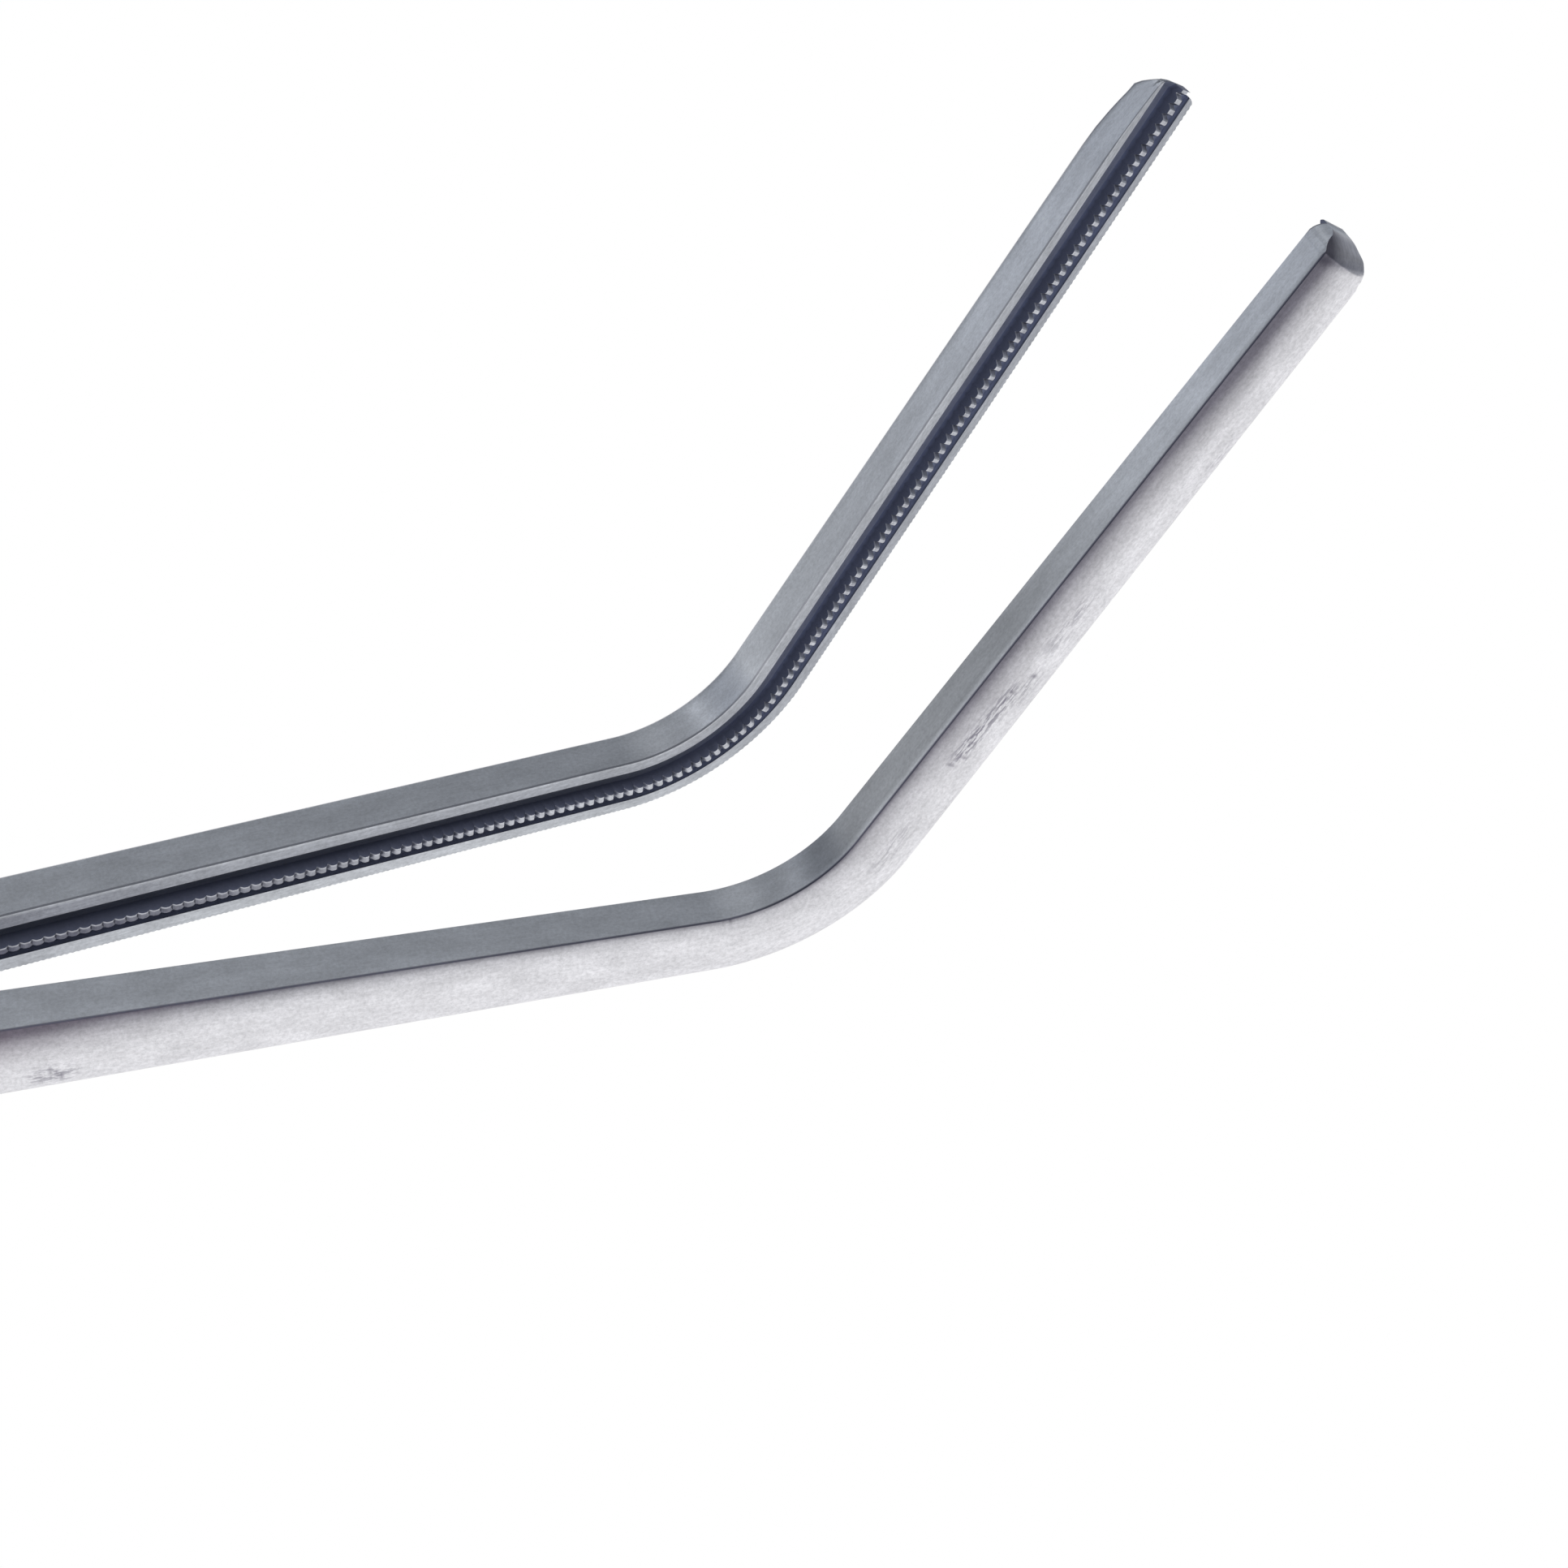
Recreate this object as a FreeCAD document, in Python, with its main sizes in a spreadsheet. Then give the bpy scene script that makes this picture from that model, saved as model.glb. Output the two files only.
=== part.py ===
import FreeCAD, Part
import math
import os
import re
import Sketcher
from FreeCAD import Placement, Rotation, Vector

# Angled aortic clamp: two forged halves crossing in a box lock, held by one flush pin.
# Frame: +X toward the jaws, +Z up along the pin, origin on the pin's axis at the underside of the lock.
# Both halves are drawn closed, with their gripping faces along Y = 0, and then swung open about the pin.

os.makedirs("parts", exist_ok=True)
doc = FreeCAD.newDocument("AorticClamp")
sheet = doc.addObject("Spreadsheet::Sheet", "Sizes")

# Driving sizes, in millimetres and degrees
SIZES = {
    # Box lock
    "lock_thickness": 8.0,
    "lock_half_width": 5.5,
    "lock_radius": 8.5,
    "lock_half_length": 10.0,
    "hub_radius": 4.9,
    "cheek_thickness": 2.2,
    "fit_gap": 0.1,
    "face_gap": 0.05,
    "pin_radius": 1.6,
    "pin_clearance": 0.04,
    "pin_head_radius": 2.3,
    "pin_head_depth": 0.7,
    "half_opening": 4.41,
    # Jaw, seen from the side
    "bend_start": 87.6,
    "bend_angle": 64.1,
    "bend_radius": 13.1,
    "tip_length": 52.0,
    "neck_place": 25.0,
    # Jaw sections: width along the pin, depth from the gripping face, swell toward the outer side
    "neck_width": 5.6,
    "neck_depth": 3.6,
    "neck_swell": 1.25,
    "bend_width": 4.9,
    "bend_depth": 3.0,
    "bend_swell": 0.7,
    "tip_width": 4.2,
    "tip_depth": 2.4,
    "tip_swell": 0.55,
    "root_swell": 0.4,
    "back_round": 1.0,
    "root_round": 0.6,
    # Jaw tips: the near one is nearly blunt, the far one slopes down to a thin end and stops a little short
    "near_top_round": 1.2,
    "near_low_round": 1.7,
    "near_bevel": 0.95,
    "near_edge": 1.0,
    "near_short": 0.0,
    "far_top_round": 0.8,
    "far_low_round": 1.1,
    "far_bevel": 2.4,
    "far_edge": 0.8,
    "far_short": 0.6,
    # Gripping faces
    "grip_start": 15.0,
    "channel_half_width": 1.45,
    "channel_depth": 0.45,
    "ridge_base": 0.42,
    "ridge_top": 0.26,
    "ridge_height": 0.65,
    "grip_clearance": 0.12,
    "grip_sink": 0.05,
    "pitch": 0.8,
    "notch_overlap": 0.02,
    "notch_margin": 0.1,
    "ridge_notch": 0.42,
    "rail_notch": 0.3,
    # Shanks
    "shank_mid_place": 30.0,
    "shank_end_place": 128.5,
    "shank_root_y": 2.8,
    "shank_end_y": 8.0,
    "shank_root_width": 5.2,
    "shank_width": 4.6,
    "shank_height": 6.0,
    "shank_round": 1.4,
    "shank_end_width": 3.2,
    "shank_end_height": 4.4,
    # Finger rings: a rod with twelve flats, as wide and high between them as given
    "ring_place": 138.0,
    "ring_y": 17.6,
    "ring_inner_radius": 12.0,
    "ring_rod_width": 4.6,
    "ring_rod_height": 5.4,
    "ring_flats": 12,
    # Ratchet
    "ratchet_place": 112.0,
    "ratchet_width": 6.0,
    "ratchet_end_gap": 0.6,
    "ratchet_bar": 1.8,
    "ratchet_tooth": 0.8,
    "ratchet_pitch": 1.5,
    "ratchet_teeth": 5,
    "ratchet_gap": 0.06,
    # How far a cut reaches past the surface that it cuts
    "overcut": 1.0,
    "wide_cut": 20.0,
}
for row, (alias, number) in enumerate(SIZES.items(), start=1):
    sheet.set(f"A{row}", alias)
    sheet.set(f"B{row}", str(number))
    sheet.setAlias(f"B{row}", alias)
doc.recompute()


def sized(text):
    """An expression in the sheet's own words, with each size pointed at the sheet."""
    return re.sub(r"[a-z]+(?:_[a-z]+)*", lambda m: f"Sizes.{m[0]}" if m[0] in SIZES else m[0], str(text))


def value(text):
    """The number that an expression gives now."""
    result = sheet.evalExpression(sized(text))
    return float(getattr(result, "Value", result))


def bind(thing, prop, text):
    thing.setExpression(prop, sized(text))


# Places worked out from the driving sizes
MID = "lock_thickness / 2"
ARC = "(bend_radius * bend_angle * pi / 180)"
BEND_TURN = "bend_angle * 1 deg"
BEND_END_X = f"(bend_start + bend_radius * sin({BEND_TURN}))"
BEND_END_Z = f"({MID} + bend_radius * (1 - cos({BEND_TURN})))"
TIP_X = f"({BEND_END_X} + tip_length * cos({BEND_TURN}))"
TIP_Z = f"({BEND_END_Z} + tip_length * sin({BEND_TURN}))"
TANGENT = "asin(hub_radius / lock_radius)"
SLOT_RADIUS = "(hub_radius + fit_gap)"
RAIL_HEIGHT = "channel_depth + 2 * face_gap - grip_clearance"


def origin_plane(body, role):
    return next(item for item in body.Origin.OriginFeatures if item.Role == role)


def new_sketch(body, name, role, place=("0", "0", "0"), turn_axis=None, turn="0"):
    """An empty sketch on one of the body's origin planes, shifted and turned by expressions."""
    sketch = body.newObject("Sketcher::SketchObject", name)
    sketch.AttachmentSupport = [(origin_plane(body, role), "")]
    sketch.MapMode = "FlatFace"
    if turn_axis:
        sketch.AttachmentOffset = Placement(Vector(), Rotation(turn_axis, value(turn)))
        bind(sketch, "AttachmentOffset.Rotation.Angle", turn)
    for letter, text in zip("xyz", place):
        if text != "0":
            bind(sketch, f"AttachmentOffset.Base.{letter}", text)
    return sketch


def arc_through(start, end, radius, left):
    """The shorter arc from start to end whose centre lies to the left or the right of that run."""
    chord = end - start
    across = Vector(-chord.y, chord.x, 0).normalize() * (1 if left else -1)
    drop = math.sqrt(max(radius**2 - chord.Length**2 / 4, 0))
    centre = (start + end) / 2 + across * drop
    middle = centre - across * radius
    return Part.Arc(start, middle, end) if left else Part.Arc(end, middle, start)


def outline(sketch, points, arcs=()):
    """A closed outline whose corners sit at pairs of expressions. arcs gives, for the edge that leaves a
    corner, its radius and the side its centre lies on."""
    arcs = dict(arcs)
    spots = [Vector(value(x), value(y), 0) for x, y in points]
    count = len(points)
    for i, start in enumerate(spots):
        end = spots[(i + 1) % count]
        if i in arcs:
            radius, left = arcs[i]
            sketch.addGeometry(arc_through(start, end, value(radius), left))
        else:
            sketch.addGeometry(Part.LineSegment(start, end))
    ends = []
    for i, edge in enumerate(sketch.Geometry):
        forward = (edge.StartPoint - spots[i]).Length < (edge.EndPoint - spots[i]).Length
        ends.append((1, 2) if forward else (2, 1))
    for i in range(count):
        nxt = (i + 1) % count
        sketch.addConstraint(Sketcher.Constraint("Coincident", i, ends[i][1], nxt, ends[nxt][0]))
    for i, (x, y) in enumerate(points):
        for kind, text in (("DistanceX", x), ("DistanceY", y)):
            number = sketch.addConstraint(Sketcher.Constraint(kind, -1, 1, i, ends[i][0], value(text)))
            bind(sketch, f"Constraints[{number}]", text)
        if i in arcs:
            number = sketch.addConstraint(Sketcher.Constraint("Radius", i, value(arcs[i][0])))
            bind(sketch, f"Constraints[{number}]", arcs[i][0])
    return sketch


def add(body, kind, name, profile, sizes=(), **settings):
    """A feature on a profile, with its sizes bound to expressions."""
    feature = body.newObject(f"PartDesign::{kind}", name)
    if profile:
        feature.Profile = profile
    for prop, setting in settings.items():
        setattr(feature, prop, setting)
    for prop, text in dict(sizes).items():
        bind(feature, prop, text)
    doc.recompute()
    body.Tip = feature
    return feature


def slab(body, kind, name, points, low, height, arcs=()):
    """A flat-sided piece added or cut between two levels along the pin."""
    sketch = outline(new_sketch(body, f"{name}_plan", "XY_Plane", ("0", "0", low)), points, arcs)
    return add(body, kind, name, sketch, {"Length": height}, Reversed=kind == "Pocket")


def mirrored_points(points, sign):
    return [(x, f"{sign} * ({y})") for x, y in points]


def jaw_section(body, name, sign, place, width, depth, swell, corner, turn="0"):
    """One section of a jaw: flat gripping face, flat concave side, back swelling toward the convex side."""
    sketch = new_sketch(body, name, "YZ_Plane", ("0", place[1], place[0]), Vector(-1, 0, 0), turn)
    half = f"({width}) / 2"
    back_radius = f"((({width}) - ({corner}))^2 + ({swell})^2) / (2 * ({swell}))"
    points = [
        ("face_gap", f"-{half}"),
        ("face_gap", half),
        (f"face_gap + {depth}", half),
        (f"face_gap + {depth} + {swell}", f"-{half} + {corner}"),
        (f"face_gap + {depth} + {swell} - {corner}", f"-{half}"),
    ]
    signed = [(f"{sign} * ({x})", y) for x, y in points]
    left = sign < 0
    return outline(sketch, signed, {2: (back_radius, left), 3: (corner, left)})


def loft(body, name, first, second):
    return add(body, "AdditiveLoft", name, first, Sections=[second], Ruled=True)


def jaw_blank(body, sign):
    """The tapering bar of the jaw: a straight run, the bend and the run to the tip."""
    root = jaw_section(body, "root_section", sign, ("lock_half_length", MID), "lock_thickness",
                       "lock_half_width - face_gap - root_swell", "root_swell", "root_round")
    neck = jaw_section(body, "neck_section", sign, ("neck_place", MID), "neck_width", "neck_depth",
                       "neck_swell", "back_round")
    bend = jaw_section(body, "bend_section", sign, ("bend_start", MID), "bend_width", "bend_depth",
                       "bend_swell", "back_round")
    turned = jaw_section(body, "bend_end_section", sign, (BEND_END_X, BEND_END_Z), "bend_width",
                         "bend_depth", "bend_swell", "back_round", BEND_TURN)
    tip = jaw_section(body, "tip_section", sign, (TIP_X, TIP_Z), "tip_width", "tip_depth", "tip_swell",
                      "back_round", BEND_TURN)
    loft(body, "jaw_root", root, neck)
    loft(body, "jaw_straight", neck, bend)
    axis = new_sketch(body, "bend_axis", "YZ_Plane", ("0", f"{MID} + bend_radius", "bend_start"))
    axis.addGeometry(Part.LineSegment(Vector(0, 0, 0), Vector(10, 0, 0)))
    doc.recompute()
    add(body, "Revolution", "jaw_bend", bend, {"Angle": BEND_TURN}, ReferenceAxis=(axis, ["Edge1"]),
        Reversed=True)
    loft(body, "jaw_distal", turned, tip)
    return axis


def distal_sketch(body, name, role, place, turn_axis):
    """A sketch in the frame of the run to the tip, where local x points along that run."""
    return new_sketch(body, name, role, place, turn_axis, BEND_TURN)


def jaw_tip(body, sign, jaw):
    """Rounds the two corners of the tip and bevels its back down to a thin end. jaw is near or far."""
    end, top, low = f"-{jaw}_short", f"{jaw}_top_round", f"{jaw}_low_round"
    half, out = "(tip_width / 2)", "(tip_width / 2 + overcut)"
    plan = distal_sketch(body, "tip_plan", "XZ_Plane", (TIP_X, TIP_Z, "0"), Vector(0, 0, 1))
    points = [
        (f"{end} - {low}", f"-{half}"),
        (f"{end} - {low}", f"-{out}"),
        ("overcut", f"-{out}"),
        ("overcut", out),
        (f"{end} - {top}", out),
        (f"{end} - {top}", half),
        (end, f"{half} - {top}"),
        (end, f"-{half} + {low}"),
    ]
    outline(plan, points, {5: (top, False), 7: (low, False)})
    add(body, "Pocket", "tip_rounding", plan, {"Length": "wide_cut"}, SideType="Symmetric")
    side = distal_sketch(body, "tip_side", "XY_Plane", (TIP_X, "0", TIP_Z), Vector(0, -1, 0))
    outer = "face_gap + tip_depth + tip_swell"
    points = [
        (f"{end} - {jaw}_bevel", outer),
        (end, f"face_gap + {jaw}_edge"),
        ("overcut", f"face_gap + {jaw}_edge"),
        ("overcut", f"{outer} + overcut"),
        (f"{end} - {jaw}_bevel", f"{outer} + overcut"),
    ]
    outline(side, mirrored_points(points, sign))
    add(body, "Pocket", "tip_bevel", side, {"Length": "wide_cut"}, SideType="Symmetric")


def grip_path(body):
    """The centre line of the gripping face, from its start near the lock to the tip."""
    path = new_sketch(body, "grip_path", "XZ_Plane")
    spots = [("grip_start", MID), ("bend_start", MID), (BEND_END_X, BEND_END_Z), (TIP_X, TIP_Z)]
    start, bend, bend_end, end = [Vector(value(x), value(y), 0) for x, y in spots]
    path.addGeometry(Part.LineSegment(start, bend))
    path.addGeometry(arc_through(bend, bend_end, value("bend_radius"), True))
    path.addGeometry(Part.LineSegment(bend_end, end))
    path.addConstraint(Sketcher.Constraint("Coincident", 0, 2, 1, 1))
    path.addConstraint(Sketcher.Constraint("Coincident", 1, 2, 2, 1))
    pinned = [(0, 1), (0, 2), (2, 1), (2, 2)]
    for (edge, point), (x, y) in zip(pinned, spots):
        for kind, text in (("DistanceX", x), ("DistanceY", y)):
            number = path.addConstraint(Sketcher.Constraint(kind, -1, 1, edge, point, value(text)))
            bind(path, f"Constraints[{number}]", text)
    number = path.addConstraint(Sketcher.Constraint("Radius", 1, value("bend_radius")))
    bind(path, f"Constraints[{number}]", "bend_radius")
    return path


def grip_strip(body, kind, name, sign, path, near, far, near_half, far_half):
    """A strip carried along the whole gripping face. near and far are depths from the face."""
    section = new_sketch(body, f"{name}_section", "YZ_Plane", ("0", MID, "grip_start"))
    points = [
        (f"face_gap + {near}", f"-({near_half})"),
        (f"face_gap + {near}", near_half),
        (f"face_gap + {far}", far_half),
        (f"face_gap + {far}", f"-({far_half})"),
    ]
    outline(section, [(f"{sign} * ({x})", y) for x, y in points])
    return add(body, kind, name, section, Spine=(path, ["Edge1", "Edge2", "Edge3"]))


def notch(body, name, sign, height, depth, half_width, place, turn="0"):
    """One V cut across the crest of a ridge or rail."""
    sketch = new_sketch(body, f"{name}_shape", "XY_Plane", place, Vector(0, -1, 0), turn)
    half = "(pitch + notch_overlap) / 2"
    crest = f"face_gap - ({height})"
    points = [
        (f"-{half}", crest),
        ("0", f"{crest} + {depth}"),
        (half, crest),
        (half, f"{crest} - {depth}"),
        (f"-{half}", f"{crest} - {depth}"),
    ]
    outline(sketch, mirrored_points(points, sign))
    cut = add(body, "Pocket", name, sketch, {"Length": f"2 * ({half_width})"}, SideType="Symmetric")
    return sketch, cut


def repeat(body, kind, name, cut, count, sizes, **settings):
    """Repeats one cut or one tooth in a row or round the bend."""
    pattern = body.newObject(f"PartDesign::{kind}", name)
    pattern.Originals = [cut]
    for prop, setting in settings.items():
        setattr(pattern, prop, setting)
    pattern.Mode = "Spacing"
    for prop, text in {"Occurrences": count, "Offset": sizes}.items():
        bind(pattern, prop, text)
    body.Tip = pattern
    doc.recompute()
    return pattern


def teeth(body, sign, axis, height, depth, half_width):
    """Notches the crest along the straight run, round the bend and along the run to the tip."""
    bend_count = f"round({ARC} / pitch)"
    step = f"(bend_angle / {bend_count} * 1 deg)"
    sketch, cut = notch(body, "notch_straight", sign, height, depth, half_width,
                        ("bend_start - pitch / 2", "0", MID))
    repeat(body, "LinearPattern", "teeth_straight", cut, "floor((bend_start - grip_start) / pitch)", "pitch",
           Direction=(sketch, ["H_Axis"]), Reversed=True)
    place = (f"bend_start + bend_radius * sin({step} / 2)", "0",
             f"{MID} + bend_radius * (1 - cos({step} / 2))")
    sketch, cut = notch(body, "notch_bend", sign, height, depth, half_width, place, f"{step} / 2")
    repeat(body, "PolarPattern", "teeth_bend", cut, bend_count, step, Axis=(axis, ["Edge1"]), Reversed=True)
    place = (f"{BEND_END_X} + pitch / 2 * cos({BEND_TURN})", "0",
             f"{BEND_END_Z} + pitch / 2 * sin({BEND_TURN})")
    sketch, cut = notch(body, "notch_distal", sign, height, depth, half_width, place, BEND_TURN)
    repeat(body, "LinearPattern", "teeth_distal", cut, "floor(tip_length / pitch)", "pitch",
           Direction=(sketch, ["H_Axis"]))


def single_row(body, sign, axis):
    """Far jaw: a wide channel with one toothed ridge standing in its middle."""
    path = grip_path(body)
    grip_strip(body, "SubtractivePipe", "channel", sign, path, "-overcut", "channel_depth",
               "channel_half_width", "channel_half_width")
    grip_strip(body, "AdditivePipe", "ridge", sign, path, "-ridge_height", "channel_depth + grip_sink",
               "ridge_top", "ridge_base")
    teeth(body, sign, axis, "ridge_height", "ridge_notch", "ridge_base + notch_margin")


def double_row(body, sign, axis):
    """Near jaw: two toothed rails that enter the channel, with a groove between them for the ridge."""
    path = grip_path(body)
    rail_half = "channel_half_width - grip_clearance"
    grip_strip(body, "AdditivePipe", "rails", sign, path, f"-({RAIL_HEIGHT})", "grip_sink", rail_half,
               rail_half)
    groove_depth = "ridge_height - 2 * face_gap + grip_clearance"
    groove_half = "ridge_base + grip_clearance"
    grip_strip(body, "SubtractivePipe", "groove", sign, path, "-overcut", groove_depth, groove_half,
               groove_half)
    teeth(body, sign, axis, RAIL_HEIGHT, "rail_notch", f"{rail_half} + notch_margin")


def rounded_bar(sketch, across, up, width, height, corner):
    """A rectangle with rounded corners, centred at across, up."""
    left, right = f"{across} - ({width}) / 2", f"{across} + ({width}) / 2"
    low, high = f"{up} - ({height}) / 2", f"{up} + ({height}) / 2"
    points = [
        (f"{left} + {corner}", low),
        (f"{right} - {corner}", low),
        (right, f"{low} + {corner}"),
        (right, f"{high} - {corner}"),
        (f"{right} - {corner}", high),
        (f"{left} + {corner}", high),
        (left, f"{high} - {corner}"),
        (left, f"{low} + {corner}"),
    ]
    return outline(sketch, points, {i: (corner, True) for i in (1, 3, 5, 7)})


def shank_size(name, place):
    """A size of the long taper at one place, between its start behind the lock and its end in the ring."""
    share = f"(({place}) - shank_mid_place) / (shank_end_place - shank_mid_place)"
    return f"({name} + (shank_end_{name.removeprefix('shank_')} - {name}) * {share})"


def shank_y(place):
    """Distance of the shank's straight centre line from the middle, at one place."""
    share = f"(({place}) - lock_half_length) / (shank_end_place - lock_half_length)"
    return f"(shank_root_y + (shank_end_y - shank_root_y) * {share})"


def shank(body, side):
    """The handle bar, from the lock back to its finger ring. side is the side of Y it lies on."""
    stations = [
        ("lock_half_length", "shank_root_width", "lock_thickness", "root_round"),
        ("shank_mid_place", "shank_width", "shank_height", "shank_round"),
        ("shank_end_place", "shank_end_width", "shank_end_height", "shank_round"),
    ]
    sections = []
    for i, (place, width, height, corner) in enumerate(stations):
        sketch = new_sketch(body, f"shank_section_{i}", "YZ_Plane", ("0", MID, f"-{place}"))
        rounded_bar(sketch, f"{side} * {shank_y(place)}", "0", width, height, corner)
        sections.append(sketch)
    loft(body, "shank_taper", sections[0], sections[1])
    loft(body, "shank_bar", sections[1], sections[2])


def finger_ring(body, side):
    """The ring for a finger: an oval rod with flats, turned about an upright axis."""
    sketch = new_sketch(body, "ring_section", "XZ_Plane", ("-ring_place", MID, f"-{side} * ring_y"))
    half_step = "(180 deg / ring_flats)"
    points = []
    for i in range(round(value("ring_flats"))):
        angle = f"({2 * i + 1} * {half_step})"
        across = f"ring_inner_radius + ring_rod_width / 2 * (1 + cos({angle}) / cos({half_step}))"
        points.append((across, f"ring_rod_height / 2 * sin({angle}) / cos({half_step})"))
    outline(sketch, points)
    add(body, "Revolution", "finger_ring", sketch, {"Angle": "360 deg"}, ReferenceAxis=(sketch, ["V_Axis"]))


def ratchet(body, side, layer):
    """The catch bar that reaches across the middle, with saw teeth on the face toward the other bar.
    layer is -1 for the bar below the middle plane and 1 for the one above it."""
    centre = shank_y("ratchet_place")
    reach = f"({centre} - {shank_size('shank_width', 'ratchet_place')} / 2 - ratchet_end_gap)"
    root = f"({MID} + {layer} * (ratchet_gap + ratchet_tooth))"
    low = root if layer > 0 else f"{root} - ratchet_bar"
    near = "-(ratchet_place - ratchet_width / 2)"
    far = "-(ratchet_place + ratchet_width / 2)"
    start = f"-{side} * {reach}"
    end = f"{side} * {centre}"
    corners = [(far, start), (near, start), (near, end), (far, end)]
    slab(body, "Pad", "ratchet_bar", corners, low, "ratchet_bar")
    sketch = new_sketch(body, "ratchet_tooth_shape", "YZ_Plane", ("0", "0", far))
    points = [(start, root), (f"{start} + {side} * ratchet_pitch", root),
              (start, f"{root} - {layer} * ratchet_tooth")]
    outline(sketch, points)
    tooth = add(body, "Pad", "ratchet_tooth", sketch, {"Length": "ratchet_width"})
    repeat(body, "LinearPattern", "ratchet_teeth", tooth, "ratchet_teeth", "ratchet_pitch",
           Direction=(sketch, ["H_Axis"]), Reversed=side < 0)


def lock_box(body):
    """The near half's part of the lock: a block with two cheeks and a slot that the tenon crosses."""
    end_x = "sqrt(lock_radius^2 - face_gap^2)"
    side_x = "sqrt(lock_radius^2 - lock_half_width^2)"
    block = [
        ("lock_half_length", "-face_gap"),
        (end_x, "-face_gap"),
        (side_x, "lock_half_width"),
        ("-lock_half_length", "lock_half_width"),
        ("-lock_half_length", "face_gap"),
        (f"-{end_x}", "face_gap"),
        (f"-{side_x}", "-lock_half_width"),
        ("lock_half_length", "-lock_half_width"),
    ]
    slab(body, "Pad", "lock_block", block, "0", "lock_thickness",
         {1: ("lock_radius", True), 5: ("lock_radius", True)})


def lock_slot(body):
    """The slot through the block. Its two end webs stay clear of the tenon from closed to wide open."""
    wall_x = f"({SLOT_RADIUS} - face_gap * cos({TANGENT})) / sin({TANGENT})"
    out = "(lock_half_width + overcut)"
    half = [
        (f"{SLOT_RADIUS} * sin({TANGENT})", f"-{SLOT_RADIUS} * cos({TANGENT})"),
        (wall_x, "-face_gap"),
        (wall_x, out),
        (f"-{out} * tan({TANGENT})", out),
    ]
    points = half + [(f"-({x})", f"-({y})") for x, y in half]
    slab(body, "Pocket", "lock_slot", points, "cheek_thickness", "lock_thickness - 2 * cheek_thickness")


def tenon(body):
    """The far half's part of the lock: a round hub with two arms, and full-height shoulders outside it."""
    side_x = "sqrt(lock_radius^2 - lock_half_width^2)"
    half = [
        (f"hub_radius * sin({TANGENT})", f"-hub_radius * cos({TANGENT})"),
        (f"(hub_radius + face_gap * cos({TANGENT})) / sin({TANGENT})", "face_gap"),
        ("lock_half_length", "face_gap"),
        ("lock_half_length", "lock_half_width"),
        (side_x, "lock_half_width"),
        ("0", "hub_radius"),
    ]
    points = half + [(f"-({x})", f"-({y})") for x, y in half]
    slab(body, "Pad", "tenon", points, "cheek_thickness + fit_gap",
         "lock_thickness - 2 * (cheek_thickness + fit_gap)",
         {5: ("hub_radius", True), 11: ("hub_radius", True)})
    reach = "(lock_radius + fit_gap)"
    shoulder = [
        (f"sqrt({reach}^2 - face_gap^2)", "face_gap"),
        ("lock_half_length", "face_gap"),
        ("lock_half_length", "lock_half_width"),
        (f"sqrt({reach}^2 - lock_half_width^2)", "lock_half_width"),
    ]
    slab(body, "Pad", "front_shoulder", shoulder, "0", "lock_thickness", {3: (reach, False)})
    back = [(f"-({x})", f"-({y})") for x, y in shoulder]
    slab(body, "Pad", "back_shoulder", back, "0", "lock_thickness", {3: (reach, False)})


def pin_outline(sketch, extra="0"):
    """Half of the pin seen from the side: a shaft with a flush cone at each end."""
    return outline(sketch, [
        ("0", "0"),
        (f"pin_head_radius + {extra}", "0"),
        (f"pin_radius + {extra}", "pin_head_depth"),
        (f"pin_radius + {extra}", "lock_thickness - pin_head_depth"),
        (f"pin_head_radius + {extra}", "lock_thickness"),
        ("0", "lock_thickness"),
    ])


def pin_hole(body, extra):
    sketch = pin_outline(new_sketch(body, "pin_hole_side", "XZ_Plane"), extra)
    add(body, "Groove", "pin_hole", sketch, {"Angle": "360 deg"}, ReferenceAxis=(sketch, ["V_Axis"]))


def new_body(label, turn_sign):
    """A body swung open about the pin by half of the opening."""
    body = doc.addObject("PartDesign::Body", label)
    body.Label = label
    body.Placement = Placement(Vector(), Rotation(Vector(0, 0, turn_sign), value("half_opening")))
    bind(body, "Placement.Rotation.Angle", "half_opening * 1 deg")
    return body


def female_half():
    """Jaw on the near side, shank on the far side, joined through the cheeks of the lock."""
    body = new_body("female_half", -1)
    lock_box(body)
    axis = jaw_blank(body, -1)
    shank(body, 1)
    finger_ring(body, 1)
    ratchet(body, 1, -1)
    lock_slot(body)
    pin_hole(body, "0")
    double_row(body, -1, axis)
    jaw_tip(body, -1, "near")
    return body


def male_half():
    """Jaw on the far side, shank on the near side, joined through the tenon."""
    body = new_body("male_half", 1)
    tenon(body)
    axis = jaw_blank(body, 1)
    shank(body, -1)
    finger_ring(body, -1)
    ratchet(body, -1, 1)
    pin_hole(body, "pin_clearance")
    single_row(body, 1, axis)
    jaw_tip(body, 1, "far")
    return body


def pivot_pin():
    body = doc.addObject("PartDesign::Body", "pivot_pin")
    sketch = pin_outline(new_sketch(body, "pin_side", "XZ_Plane"))
    add(body, "Revolution", "pin", sketch, {"Angle": "360 deg"}, ReferenceAxis=(sketch, ["V_Axis"]))
    return body


pieces = [female_half(), male_half(), pivot_pin()]
doc.recompute()
for item in doc.Objects:
    if "Invalid" in item.State or "Error" in item.State:
        raise RuntimeError(f"{item.Name} failed: {item.State}")
for piece in pieces:
    shape = piece.Shape
    if shape.isNull() or not shape.isValid() or len(shape.Solids) != 1:
        raise RuntimeError(f"{piece.Label} is not one sound solid")
    shape.exportStep(f"parts/{piece.Label}.step")
    print(piece.Label, round(shape.Volume, 2), shape.BoundBox)
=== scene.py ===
import math

import bmesh
import bpy
import numpy as np
from mathutils import Matrix


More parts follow.
